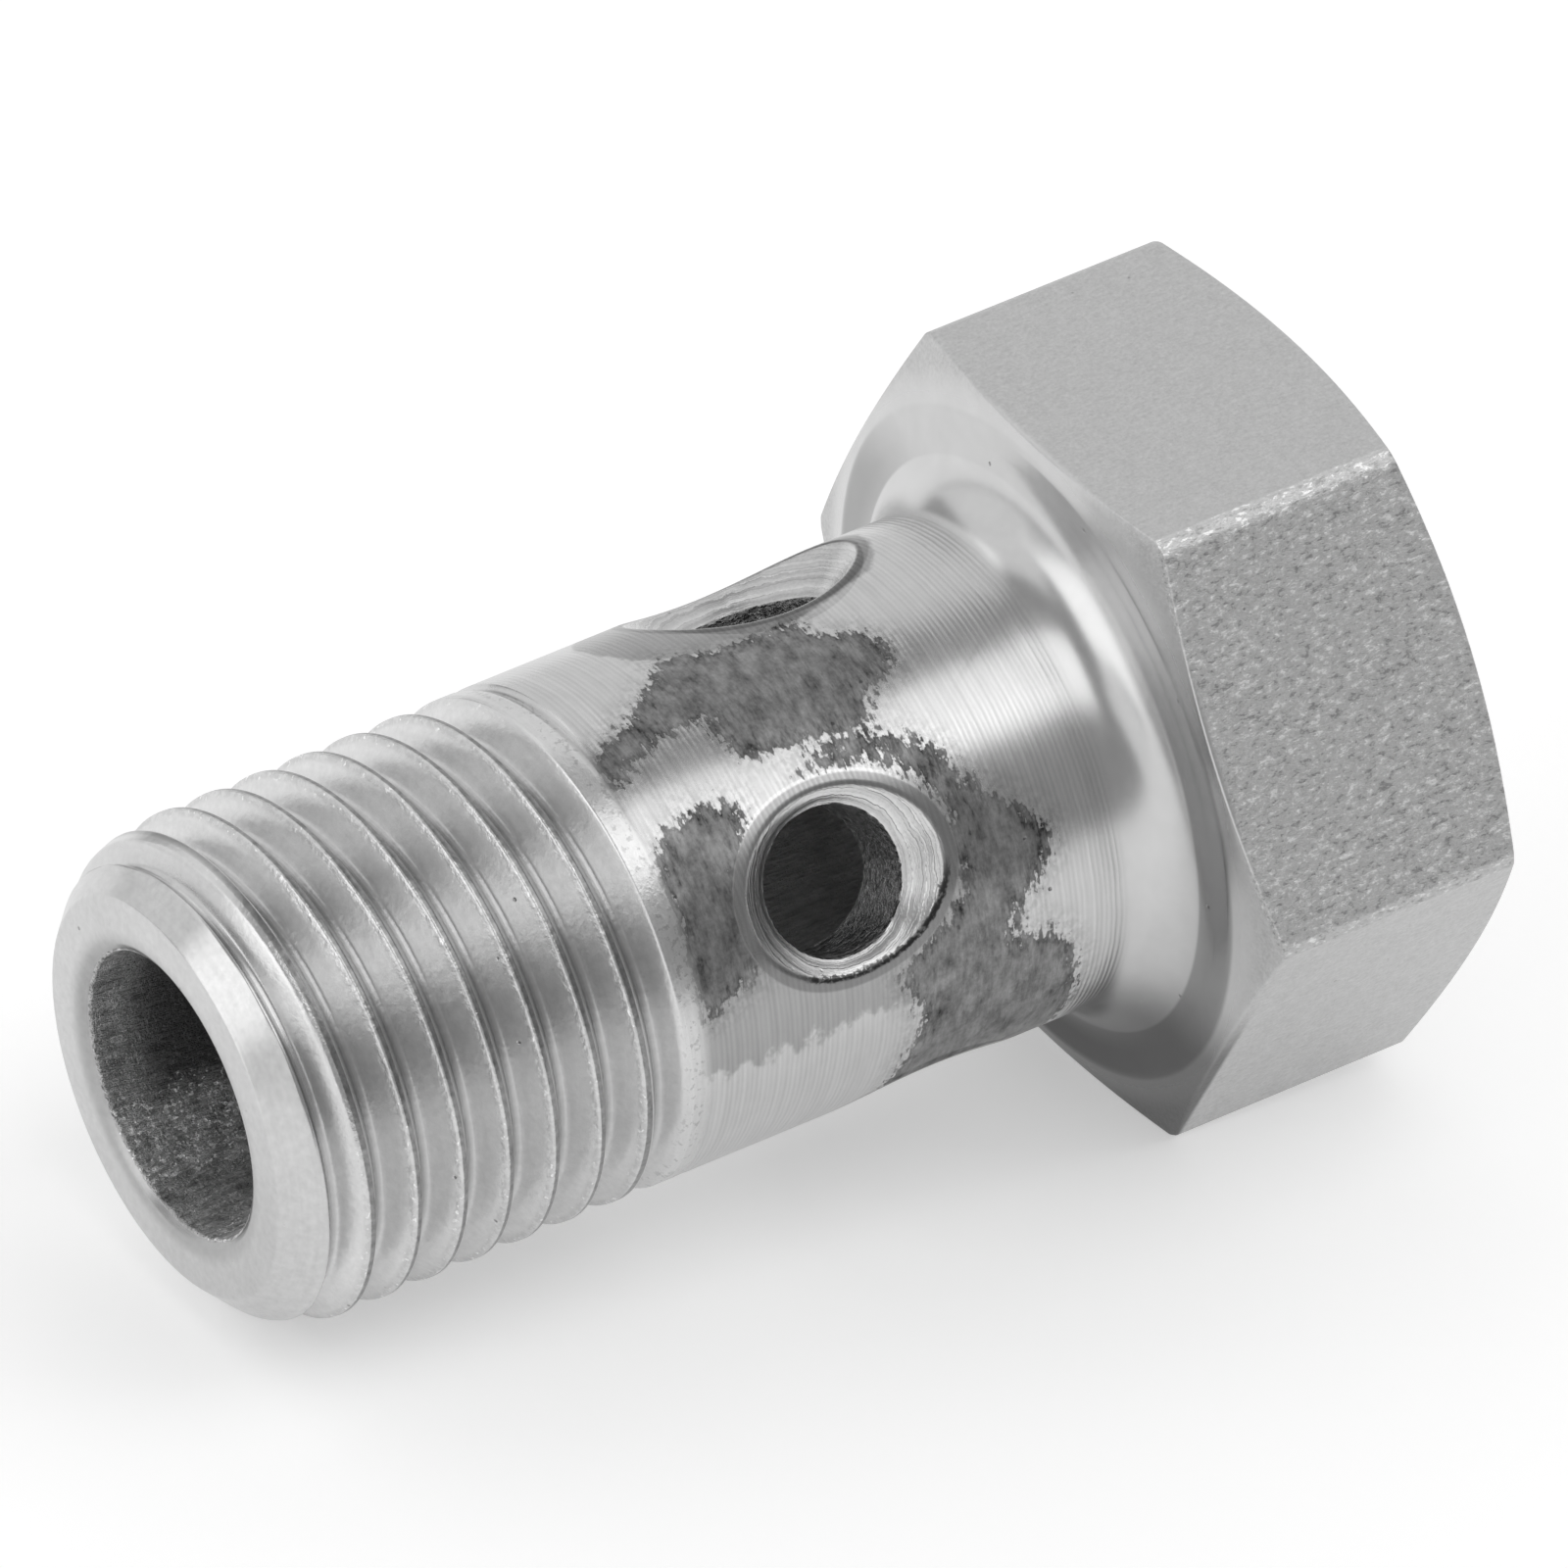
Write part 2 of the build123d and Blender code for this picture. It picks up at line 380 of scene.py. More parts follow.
# %% Rows of a passage through the wall
def passage_rows(q, q_bore, sink):
    """Rows of one passage, from the shank over the rim, down the cone and the drilled hole to the bore.
    Each point has its distance p from the hole's own axis and its height h above the bolt's axis. The
    rim is where the cone h = tip + p * RISE meets the shank: h^2 + (p sin q)^2 = PLAIN^2."""
    s = np.sin(q)
    tip = PLAIN - sink * RISE  # the cone's tip, as a height above the axis
    square = RISE ** 2 + s ** 2
    rim = (-tip * RISE + np.sqrt((tip * RISE) ** 2 + square * (PLAIN ** 2 - tip ** 2))) / square
    slope = np.arctan(rim * s ** 2 / np.sqrt(PLAIN ** 2 - (rim * s) ** 2))
    leg = RIM_LEG * np.tan((STEEP + slope) / 2)
    outside = rim + leg * np.cos(slope)
    edge_start = np.stack([outside, np.sqrt(PLAIN ** 2 - (outside * s) ** 2)])
    edge = np.stack([rim, tip + rim * RISE])
    rolled = bend(edge_start, edge, edge - leg * UPHILL, 6)
    level = np.ones_like(q)

    def on_bore(p):
        """The bore's wall at distance p: h^2 + (p sin q)^2 = BORE^2."""
        return np.stack([p * level, np.sqrt(BORE ** 2 - (p * np.sin(q_bore)) ** 2)])

    drill_top = np.stack([CROSS * level, (tip + CROSS * RISE) * level])
    below = drill_top - np.array([0, DRILL_LEG])[:, None]
    drill_edge = bend(drill_top + DRILL_LEG * UPHILL, drill_top, below, 3)
    cone_shares = np.array([0.1, 0.5, 0.92])[:, None, None]
    cone = rolled[-1] + (drill_edge[0] - rolled[-1]) * cone_shares
    tube_end = on_bore(CROSS) + np.array([0, 0.06])[:, None]
    tube_shares = np.array([0.06, 0.3, 0.6, 0.9])[:, None, None]
    tube = drill_edge[-1] + (tube_end - drill_edge[-1]) * tube_shares
    burr = bend(tube_end, on_bore(CROSS), on_bore(CROSS + BURR), 3)
    return np.concatenate([rolled, cone, drill_edge, tube, burr])


print("rows in a passage:", len(passage_rows(np.zeros(1), np.zeros(1), LOWER[1])))


# %% All rows of one mouth
def mouth_rows(centre_turn, centre_z, sink):
    """All rows of one mouth, as radius, turn and height. In its passage the sideways offset is
    p sin q, the offset along the bolt is p cos q, and the distance from the bolt's axis is the root
    of h^2 + (p sin q)^2. Before and after it, rows are blended with the rectangles."""
    outer_turn, outer_z, q = frame_of(centre_z, MOUTH_LOW, MOUTH_HIGH, PLAIN)
    inner_turn, inner_z, q_bore = frame_of(centre_z, BORE_LOW, BORE_HIGH, BORE)
    q_bore = unwrap_pair(q, q_bore)
    passage = passage_rows(q, q_bore, sink)
    share = (np.arange(len(passage)) - RIM_ROWS) / (len(passage) - RIM_ROWS - BURR_ROWS)
    turned = q + (q_bore - q) * np.clip(share, 0, 1)[:, None]
    p, h = passage[:, 0], passage[:, 1]
    sideways = p * np.sin(turned)
    radius, turn, z = np.hypot(h, sideways), np.degrees(np.arctan2(sideways, h)), p * np.cos(turned)
    near = (1 - (1 - np.linspace(0, 1, 9)[1:-1]) ** NEAR_POWER)[:, None]
    near_turn, near_z = turn[0] * near + outer_turn * (1 - near), z[0] * near + outer_z * (1 - near)
    far = (np.linspace(0, 1, 6)[1:-1] ** FAR_POWER)[:, None]
    far_turn, far_z = inner_turn * far + turn[-1] * (1 - far), inner_z * far + z[-1] * (1 - far)
    radius = np.concatenate([np.full_like(near_turn, PLAIN), radius, np.full_like(far_turn, BORE)])
    turn = np.concatenate([near_turn, turn, far_turn]) + centre_turn
    z = np.concatenate([near_z, z, far_z]) + centre_z
    return radius, turn, z


print("rows and points of one mouth:", mouth_rows(*MOUTHS[0])[0].shape)

# %% Join the four passages to the shank and to the bore
mouth_high_ring = skin.add(PLAIN, even_turns, MOUTH_HIGH)
levels = np.arange(1, QUARTER) / QUARTER


def seams(radius, low, high):
    """Points of the four lines that part the quarters, from low to high."""
    return skin.add(radius, (FIRST_TURN + np.arange(4) * 90)[:, None], low + (high - low) * levels)


def rectangle(k, low_ring, high_ring, lines):
    """The numbers of the points once round quarter k: along its low edge, up the next line, back
    along its high edge and down its own line."""
    column = (np.arange(QUARTER + 1) + k * QUARTER) % AROUND
    low_edge, high_edge = low_ring[column], high_ring[column]
    return np.concatenate([low_edge, lines[(k + 1) % 4], high_edge[::-1], lines[k][::-1]])


outer_lines = seams(PLAIN, MOUTH_LOW, MOUTH_HIGH)
inner_lines = seams(BORE, BORE_LOW, BORE_HIGH)
for k, mouth in enumerate(MOUTHS):
    passage = skin.add(*mouth_rows(*mouth))
    outer = rectangle(k, mouth_low_ring, mouth_high_ring, outer_lines)
    inner = rectangle(k, bore_low_ring, bore_high_ring, inner_lines)
    skin.join(closed(np.concatenate([outer[None], passage, inner[None]])))
print("points below the head:", skin.count)

# %% [markdown]
# ## The hexagon head
# The head was cut from hexagon bar and then turned at both ends, so each flat ends in a curved edge
# where a cone took the corners off. A hexagon's outline is walked once round, with its corners
# broken by a narrow flat. At each point of it, the same profile is followed: out along the seat, up
# the cone, along the flat, over the crown to the middle of the top.

# %% The hexagon's outline
FLAT = 7.0  # distance of a flat from the axis
CORNER_BREAK, CORNER_SOFT = 0.14, 0.05  # what a flat loses at a corner, and how far that edge is rounded
FLAT_POINTS, FLAT_MARGIN = 12, 0.12  # points on half a flat, and how far they stay from that edge
edge_y = FLAT * math.tan(math.radians(30)) - CORNER_BREAK
flat_y = np.linspace(0, edge_y - FLAT_MARGIN, FLAT_POINTS)
first = np.array([FLAT, edge_y])
turn60 = np.array([[0.5, -math.sqrt(0.75)], [math.sqrt(0.75), 0.5]])
second = turn60 @ (first * [1, -1])
middle = (second - first) / np.linalg.norm(second - first)
one_edge = bend(first - [0, CORNER_SOFT], first, first + CORNER_SOFT * middle, 3)
other_edge = (turn60 @ (one_edge[::-1] * [1, -1]).T).T
half_flat = np.stack([np.full(FLAT_POINTS, FLAT), flat_y], axis=-1)
next_half = (turn60 @ (half_flat * [1, -1])[::-1].T).T[:-1]
sector = np.concatenate([half_flat, one_edge, [(first + second) / 2], other_edge, next_half])
turns6 = np.radians(60 * np.arange(6))
cosines, sines = np.cos(turns6), np.sin(turns6)
spin = np.stack([np.stack([cosines, -sines], -1), np.stack([sines, cosines], -1)], -2)
outline = np.einsum("kij,nj->kni", spin, sector).reshape(-1, 2)
hex_turn = np.degrees(np.unwrap(np.arctan2(outline[:, 1], outline[:, 0])))
hex_radius = np.hypot(outline[:, 0], outline[:, 1])
print("points round the hexagon:", len(outline), "of", AROUND)

# %% Profile of the head at each point of the outline
first_column = int(np.argmin(np.abs(hex_turn - FIRST_TURN)))
hex_turn = np.concatenate([hex_turn[first_column:], hex_turn[:first_column] + 360])
hex_radius = np.roll(hex_radius, -first_column)
SEAT_CIRCLE, CROWN_CIRCLE, HEIGHT = 6.65, 6.6, 6.0  # radii of the flat rings, and the head's height
seat_slope, crown_slope = math.tan(math.radians(15)), math.tan(math.radians(20))
ones = np.ones(AROUND)
corners = np.array([[6.2 * ones, 0 * ones], [SEAT_CIRCLE * ones, 0 * ones],
                    [hex_radius, (hex_radius - SEAT_CIRCLE) * seat_slope],
                    [hex_radius, HEIGHT - (hex_radius - CROWN_CIRCLE) * crown_slope],
                    [CROWN_CIRCLE * ones, HEIGHT * ones], [6.3 * ones, HEIGHT * ones]])
SEAT_LEG, LOWER_LEG, UPPER_LEG, CROWN_LEG = 0.06, 0.05, 0.06, 0.08  # rounding of the four corners
profile = rounded(corners, [SEAT_LEG, LOWER_LEG, UPPER_LEG, CROWN_LEG], steps=3)
# Three more rows on each long stretch, the last stretch first
for k, (share_a, share_b) in ((12, (0.25, 0.75)), (8, (0.03, 0.97)), (4, (0.25, 0.75))):
    a, b = profile[k], profile[k + 1]
    between = [a + (b - a) * share_a, a + (b - a) * 0.5, a + (b - a) * share_b]
    profile = np.insert(profile, k + 1, between, axis=0)
settle = np.clip(np.arange(len(profile)) / 8, 0, 1)[:, None]  # from even turns to the hexagon's turns
turn_rows = even_turns * (1 - settle) + hex_turn * settle
print("rows in the head's profile:", len(profile))

# %% Hollow corner, head and top
COVE = 1.225  # radius of the hollow corner
arc = np.radians(np.linspace(0, 90, 13))[:, None]
cove = skin.add(PLAIN + COVE - COVE * np.cos(arc), even_turns, -COVE + COVE * np.sin(arc))
head = skin.add(profile[:, 0], turn_rows, profile[:, 1])
disc = skin.add(np.array([6.0, 5.0, 4.0, 3.0, 2.0, 1.0, 0.3])[:, None], hex_turn, HEIGHT)
top = skin.add(0, 0, HEIGHT)
skin.join(closed(np.concatenate([mouth_high_ring[None], cove, head, disc, np.full((1, AROUND), top[0])])))
print("points in the whole skin:", skin.count)

# %% Put the skin into one object
bolt = bpy.data.objects.new("turned_bolt", skin.mesh("turned_bolt"))
bpy.context.scene.collection.objects.link(bolt)
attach(bolt, "root")
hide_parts("banjo_bolt")
bolt.data.calc_loop_triangles()
print("points:", len(bolt.data.vertices), "triangles:", len(bolt.data.loop_triangles))

# %% [markdown]
# ## The camera
# The photograph was taken from far away with a long lens, so parallel edges stay nearly parallel. The
# camera's three directions were worked out from the head's corners, the crests and the bore's mouth.

# %% Place the camera
IMAGE, SENSOR = 1600, 36  # the image's width in pixels, and the sensor's in mm
PIXELS_LONG = 35000.0  # focal length in pixels
DISTANCE = 642.22  # mm, from the camera to the seat's centre
SEAT_AT = (1055.26, 757.29)  # where the image shows that centre, in pixels
heading, lean, roll = np.radians([-22.226, 65.583, -77.726])
cam_d = np.array([np.cos(heading), np.sin(heading), 0])
cam_n = np.array([-np.sin(heading), np.cos(heading), 0])
cam_along = cam_d * np.sin(lean) + np.array([0, 0, np.cos(lean)])
cam_w = np.cross(cam_n, cam_along)
roll = roll + np.radians(30)  # from a corner of the head to the middle of a flat
cam_away = np.cos(roll) * cam_w + np.sin(roll) * cam_n
cam_aside = np.cross(cam_along, cam_away)
to_world = np.stack([away, aside, along], axis=1) @ np.stack([cam_away, cam_aside, cam_along])
right, down, forward = to_world.T
centre = np.array([(pixel - IMAGE / 2) * DISTANCE / PIXELS_LONG for pixel in SEAT_AT] + [DISTANCE])
eye = -0.001 * (to_world @ centre)
camera = bpy.data.objects.new("camera", bpy.data.cameras.new("camera"))
bpy.context.scene.collection.objects.link(camera)
bpy.context.scene.camera = camera
rows = [[right[i], -down[i], -forward[i], eye[i]] for i in range(3)]
camera.matrix_world = Matrix(rows + [[0, 0, 0, 1]])
camera.data.sensor_width, camera.data.lens = SENSOR, PIXELS_LONG / IMAGE * SENSOR
camera.data.clip_start, camera.data.clip_end = 0.05, 10
print("camera looks down", round(math.degrees(math.asin(-forward[2])), 1), "degrees from", eye.round(3))

# %% [markdown]
# ## Floor and light
# The bolt lies on a plain pale floor. Six large soft lamps stand round it as a photographer's soft
# boxes would: one above, two behind, one at either end and a small one beside the camera. Bare steel
# shows hardly more than what it mirrors, so their places were worked out from where the photographed
# steel is light or dark. The floor also glows a little, but only for rays that come from the camera
# or off the steel. So the background is white, the steel mirrors it as white, and the shadow stays.

# %% Floor
low = min(v.co.z for v in bolt.data.vertices)
floor_mesh = bpy.data.meshes.new("floor")
half = 0.6  # m, half the floor's width
floor_corners = [(-half, -half, low), (half, -half, low), (half, half, low), (-half, half, low)]
floor_mesh.from_pydata(floor_corners, [], [(0, 1, 2, 3)])
floor = bpy.data.objects.new("floor", floor_mesh)
bpy.context.scene.collection.objects.link(floor)
print("the floor lies at", round(1000 * low, 2), "mm")

# %% [markdown]
# ## Materials written as sums
# A material is a net of nodes. Written out node by node it is long and hard to read, so a small class
# stands for the value at one output, and Python's own signs add the Math nodes: light * 2 + dark is
# two nodes. Its step is the most useful: it turns a distance into a mask with a soft edge.

# %% Shader maths as Python
class Wire:
    """A value on its way through a material. Its operators add Math nodes."""

    def __init__(self, tree, socket):
        self.tree, self.socket = tree, socket

    def math(self, operation, *values):
        """One Math node. Its inputs are the values, in their order."""
        return add_node(self.tree, "ShaderNodeMath", {"operation": operation}, dict(enumerate(values)))

    def __add__(self, other):
        return self.math("ADD", self, other)

    def __radd__(self, other):
        return self.math("ADD", other, self)

    def __sub__(self, other):
        return self.math("SUBTRACT", self, other)

    def __rsub__(self, other):
        return self.math("SUBTRACT", other, self)

    def __mul__(self, other):
        return self.math("MULTIPLY", self, other)

    def __rmul__(self, other):
        return self.math("MULTIPLY", other, self)

    def __truediv__(self, other):
        return self.math("DIVIDE", self, other)

    def __or__(self, other):
        return self.math("MAXIMUM", self, other)

    def __and__(self, other):
        return self.math("MINIMUM", self, other)

    def step(self, low, high):
        """0 below low, 1 above high, and a smooth rise between; low may be above high."""
        return add_node(self.tree, "ShaderNodeMapRange", {"interpolation_type": "SMOOTHSTEP"},
                        {"Value": self, "From Min": low, "From Max": high})


print("beside its operators, a wire has:", [name for name in vars(Wire) if name[0] != "_"])


# %% Helpers for nodes, and the floor's paint
def add_node(tree, kind, settings, inputs, output=0):
    """A node with its settings, then the values or wires of its sockets. Returns one output."""
    node = tree.nodes.new(kind)
    for name, value in settings.items():
        setattr(node, name, value)
    for name, value in inputs.items():
        if isinstance(value, Wire):
            tree.links.new(value.socket, node.inputs[name])
        else:
            node.inputs[name].default_value = value
    return Wire(tree, node.outputs[output])


def start_material(name):
    """A new material with its Principled shader, ready for wires."""
    material = bpy.data.materials.new(name)
    material.use_nodes = True
    tree = material.node_tree
    return material, tree, tree.nodes["Principled BSDF"]


paint, tree, plain = start_material("floor_paint")
plain.inputs["Base Color"].default_value = (0.82, 0.82, 0.82, 1)
plain.inputs["Roughness"].default_value = 0.9
plain.inputs["Specular IOR Level"].default_value = 0
FLOOR_GLOW = 0.36
seen, mirrored, passed = [add_node(tree, "ShaderNodeLightPath", {}, {}, output=name)
                          for name in ("Is Camera Ray", "Is Glossy Ray", "Is Transmission Ray")]
strength = (seen | mirrored | passed) * FLOOR_GLOW
glow = add_node(tree, "ShaderNodeEmission", {}, {"Color": (1, 1, 1, 1), "Strength": strength})
both = add_node(tree, "ShaderNodeAddShader", {}, {0: Wire(tree, plain.outputs[0]), 1: glow})
tree.links.new(both.socket, tree.nodes["Material Output"].inputs["Surface"])
floor_mesh.materials.append(paint)
print("nodes in the floor's paint:", len(tree.nodes))

# %% Studio light
LAMP_DISTANCE = 0.8  # m
# Each lamp's name, heading and height in degrees, width and depth in m, and brightness
LAMPS = [
    ("above", -78, 66, 0.8, 0.5, 1.2),
    ("behind", 50, 32, 0.85, 1.0, 0.57),
    ("behind_left", 118, 34, 0.8, 1.0, 0.57),
    ("thread_end", 172, 20, 0.56, 0.6, 1.25),
    ("beside_camera", -150, 18, 0.4, 0.5, 0.6),
    ("head_end", -25, 44, 0.5, 0.4, 0.95),
]
world = bpy.data.worlds.new("studio")
bpy.context.scene.world = world
world.use_nodes = True
sky = world.node_tree.nodes["Background"].inputs
sky["Color"].default_value, sky["Strength"].default_value = (1, 1, 1, 1), 0.34


def soft_box(name, heading, height, width, depth, brightness):
    """A flat lamp that looks at the bolt from a heading and a height. A lamp's own brightness is
    its power divided by pi and by its area, so the power is brightness times both."""
    light = bpy.data.lights.new(name, "AREA")
    light.shape, light.size, light.size_y = "RECTANGLE", width, depth
    light.energy = brightness * math.pi * width * depth
    holder = bpy.data.objects.new(name, light)
    bpy.context.scene.collection.objects.link(holder)
    a, h = math.radians(heading), math.radians(height)
    at = LAMP_DISTANCE * Vector((math.cos(a) * math.cos(h), math.sin(a) * math.cos(h), math.sin(h)))
    holder.location = at
    holder.rotation_mode = "QUATERNION"
    holder.rotation_quaternion = (-at).to_track_quat("-Z", "Y")
    holder.visible_camera = False


for lamp in LAMPS:
    soft_box(*lamp)
bpy.context.scene.view_settings.view_transform = "Standard"
print("lamps:", len(LAMPS))

# %% [markdown]
# ## Stained patches on the shank
# Something once lay against the shank and left dull dark patches round the cross holes. Their
# outlines are written down as corners, in height and turn. For every point of the mesh, the distance
# from the nearest outline is worked out, positive inside. The material reads it as an attribute and
# makes the edge ragged with noise, so the patches need no fine mesh.

# %% Outlines of the patches, as height in mm and turn in degrees
STAINS = [
    # below the upper hole
    [(-7.9, -9), (-7.4, -6), (-6.8, -3), (-5.8, -2), (-5.1, -2), (-4.9, 5), (-4.3, 8), (-4.0, 12),
     (-3.9, 17), (-4.2, 21), (-4.8, 23), (-5.0, 27), (-5.3, 31), (-6.2, 29), (-7.0, 28), (-7.8, 26),
     (-8.0, 20), (-7.9, 15), (-8.6, 14), (-9.4, 17), (-10.0, 21), (-10.5, 22), (-10.4, 14),
     (-9.6, 9), (-8.8, 3), (-8.1, -2)],
    # between the thread and the lower hole
    [(-10.4, 41), (-9.9, 36), (-9.3, 33), (-8.7, 34), (-8.2, 36), (-8.5, 43), (-8.85, 50),
     (-8.9, 58), (-8.9, 66), (-9.0, 71), (-9.6, 75), (-10.4, 78)],
    # between the lower hole and the head, and on underneath
    [(-6.9, 34.5), (-6.3, 31.5), (-5.6, 31), (-5.0, 33), (-4.5, 37), (-4.1, 41), (-3.95, 47),
     (-3.4, 55), (-2.95, 60), (-2.55, 65), (-2.65, 72), (-3.1, 77), (-3.5, 82), (-3.75, 89),
     (-2.75, 89.5), (-2.4, 95), (-2.2, 104), (-2.1, 118), (-2.15, 150), (-5.9, 154), (-6.0, 128),
     (-5.8, 112), (-5.6, 101), (-5.9, 93), (-6.1, 86), (-5.6, 81), (-5.0, 77), (-4.6, 72),
     (-4.5, 62), (-4.45, 54), (-4.7, 46), (-5.2, 40), (-5.8, 36.5), (-6.4, 35.5)],
]
POLISHED = [
    # round the upper hole
    [(-8.3, -36), (-8.6, -28), (-8.5, -19), (-8.2, -11), (-7.6, -6), (-6.8, -2.5), (-5.8, -1),
     (-4.9, -2), (-4.0, -5), (-3.0, -9), (-2.6, -15), (-2.35, -22), (-2.2, -30), (-2.4, -45),
     (-3.2, -56), (-4.9, -61), (-6.6, -56), (-7.7, -46)],
]
print("corners of the outlines:", [len(outline) for outline in STAINS + POLISHED])


# %% Distance from the outlines
def depth_inside(turn, z, outline):
    """Distance in mm from an outline that lies on the shank, positive inside. The nearest point of
    each side is found by dropping a perpendicular: its share t of the side is the offset times the
    side over the side's square. A point is inside if a line from it crosses the outline an odd
    number of times."""
    x, y = z, np.radians((turn + 160) % 360 - 160) * PLAIN
    corners = np.array(outline) * [1, math.radians(1) * PLAIN]
    nearest, odd = np.full(x.shape, 9.0), np.zeros(x.shape, bool)
    for (ax, ay), (bx, by) in zip(corners, np.roll(corners, -1, axis=0)):
        side_x, side_y = bx - ax, by - ay
        t = np.clip(((x - ax) * side_x + (y - ay) * side_y) / (side_x ** 2 + side_y ** 2), 0, 1)
        nearest = np.minimum(nearest, np.hypot(x - ax - t * side_x, y - ay - t * side_y))
        if side_y:
            odd ^= ((ay > y) != (by > y)) & (x < ax + (y - ay) / side_y * side_x)
    return np.where(odd, nearest, -nearest)


co = np.empty(3 * len(bolt.data.vertices))
bolt.data.vertices.foreach_get("co", co)
local = 1000 * co.reshape(-1, 3) @ np.stack([along, away, aside], axis=1)
point_z, point_turn = local[:, 0], np.degrees(np.arctan2(local[:, 2], local[:, 1]))
for name, outlines in (("stain", STAINS), ("polished", POLISHED)):
    depth = np.max([depth_inside(point_turn, point_z, outline) for outline in outlines], axis=0)
    layer = bolt.data.attributes.new(name, "FLOAT", "POINT")
    layer.data.foreach_set("value", np.clip(depth, -2, 2))
    print(name, "points inside:", int((depth > 0).sum()))

# %% [markdown]
# ## Bare turned steel
# The whole bolt is one metal. What changes over it is how rough and how clean it is: fine rings where
# it was turned, a grain on the flats, clean bright cones in the countersinks, dull patches. Light and
# shade are painted into the colour too: shade in the bore, the drilled holes, the thread's roots, under
# the head, on the end face and in a band on the shank, and light on the thread's flanks, one corner,
# the lower halo's edge and in glints. All of it comes from where a point is. s is its height along the
# bolt and rho its distance from the axis, y and a are its two offsets across the bolt, and turned is
# its turn about the axis.

# %% Where a point is
steel, tree, metal = start_material("steel")
metal.inputs["Metallic"].default_value = 1
here = add_node(tree, "ShaderNodeMapping", {}, {
    "Vector": add_node(tree, "ShaderNodeTexCoord", {}, {}, output="Object"),
    "Rotation": (0, REST_ANGLE, 0), "Scale": (1000, 1000, 1000)})
s, y, a = [add_node(tree, "ShaderNodeSeparateXYZ", {}, {0: here}, output=k) for k in range(3)]
rho = (y * y + a * a).math("SQRT", y * y + a * a)
turned = (0 - y).math("ARCTAN2", 0 - y, a)


def from_hole(turn, z, flare):
    """Distance from a cross hole's axis, and a second distance that is the same all along its rim. The
    first comes from the point's offset along the bolt and its offset across. The rim lies nearer to the
    axis where it dips down the shank's sides, so the second adds flare times (across / distance)^2."""
    t = math.radians(turn)
    across = a * math.sin(t) + y * math.cos(t)
    square = (s - z) * (s - z) + across * across
    distance = square.math("SQRT", square)
    return distance, distance + flare * across * across / square


def facing(turn):
    """Distance from the bolt's axis in one direction, given by its turn in degrees."""
    return a * math.cos(math.radians(turn)) - y * math.sin(math.radians(turn))


lower, low_rim = from_hole(LOWER_TURN, LOWER[0], 0.38)
upper, high_rim = from_hole(UPPER_TURN, UPPER[0], 0.47)
stain, polished = [add_node(tree, "ShaderNodeAttribute", {"attribute_name": name}, {}, output="Fac")
                   for name in ("stain", "polished")]
print("nodes that say where a point is:", len(tree.nodes))

# %% [markdown]
# ## Noise and swings
# All wear is noise that is stretched along the bolt or round it, with a step that keeps its peaks.
# A swing moves a noise so that it changes a value up and down without changing its mean.

# %% Noises of the finish
def grain(along_axis, around, detail, coarse):
    """Noise from 0 to 1. Its lumps are about 1 / along_axis mm long and 1 / around mm wide."""
    scaled = add_node(tree, "ShaderNodeVectorMath", {"operation": "MULTIPLY"},
                      {0: here, 1: (along_axis, around, around)})
    return add_node(tree, "ShaderNodeTexNoise", {},
                    {"Vector": scaled, "Scale": 1, "Detail": detail, "Roughness": coarse})


def swing(noise, size):
    """The noise less a half, times a size."""
    return (noise - 0.5) * size


mottle = grain(2.4, 1.6, 4, 0.65)
crumbs = grain(7, 6, 3, 0.65)
teeth = grain(11, 2.6, 2, 0.6)
fine = grain(13, 13, 2, 0.7)
rings = grain(11, 0.25, 2, 0.6)
flecks = grain(4.4, 9, 3, 0.75)
scratches = grain(1.3, 8, 3, 0.7)
# Painted glints for the bore's low side
glint_specks = grain(7, 9, 2, 0.6).step(0.58, 0.66)
# Painted glints for the thread's crests
painted_glints = grain(14, 7, 1, 0.5).step(0.6, 0.7) * crumbs.step(0.42, 0.6)
light_flecks, dark_flecks = flecks.step(0.55, 0.66), flecks.step(0.46, 0.34)
print("nodes with the noises:", len(tree.nodes))

# %% [markdown]
# ## Masks
# A mask is 1 in one place and 0 elsewhere. Most are one step in height times another in distance.

# %% Zones of the bolt
# Heights in mm: the top of the head is at 6, the seat at 0, the thread starts near -10.4, its
# cut-off first turn is at -18.1 and the end at -19.15
head_zone = s.step(0.05, 0.25) * s.step(5.95, 5.75)
top_zone = s.step(5.9, 5.97)
shank_zone = s.step(-1.0, -1.4) * s.step(-10.6, -10.2)
thread_zone = s.step(-10.2, -10.6) * s.step(-18.4, -18.1)
bore_zone = rho.step(2.91, 2.87) * s.step(0, -0.5)
end_zone = s.step(-18.1, -18.4) * (1 - bore_zone)
# The drilled holes, the cones above them, and what is left of the shank's skin
tube_zone = (lower & upper).step(1.46, 1.43)
solid = (1 - tube_zone) * (1 - bore_zone)
low_cone, high_cone = lower.step(2.16, 2.12) * solid, upper.step(2.42, 2.38) * solid
cone_zone = (low_cone | high_cone) * rho.step(4.94, 4.9)
skin_zone = shank_zone * (1 - cone_zone) * solid
# The seat's flat ring and the head's underside, where shade is painted, then the broken corner
# with its painted highlight and the flat, which face the camera
seat_ring = s.step(-0.11, -0.06) * s.step(0.04, 0.01) * rho.step(5.72, 5.8)
painted_shade_underside = a.step(-1.8, -4.2) * s.step(-1.5, -0.7) * s.step(0.5, 0.36)
# The broken corner that faces the camera, which gets a painted highlight
corner = facing(30).step(7.95, 7.99) * head_zone
front = facing(60).step(6.8, 6.9) * head_zone
print("nodes with the zones:", len(tree.nodes))

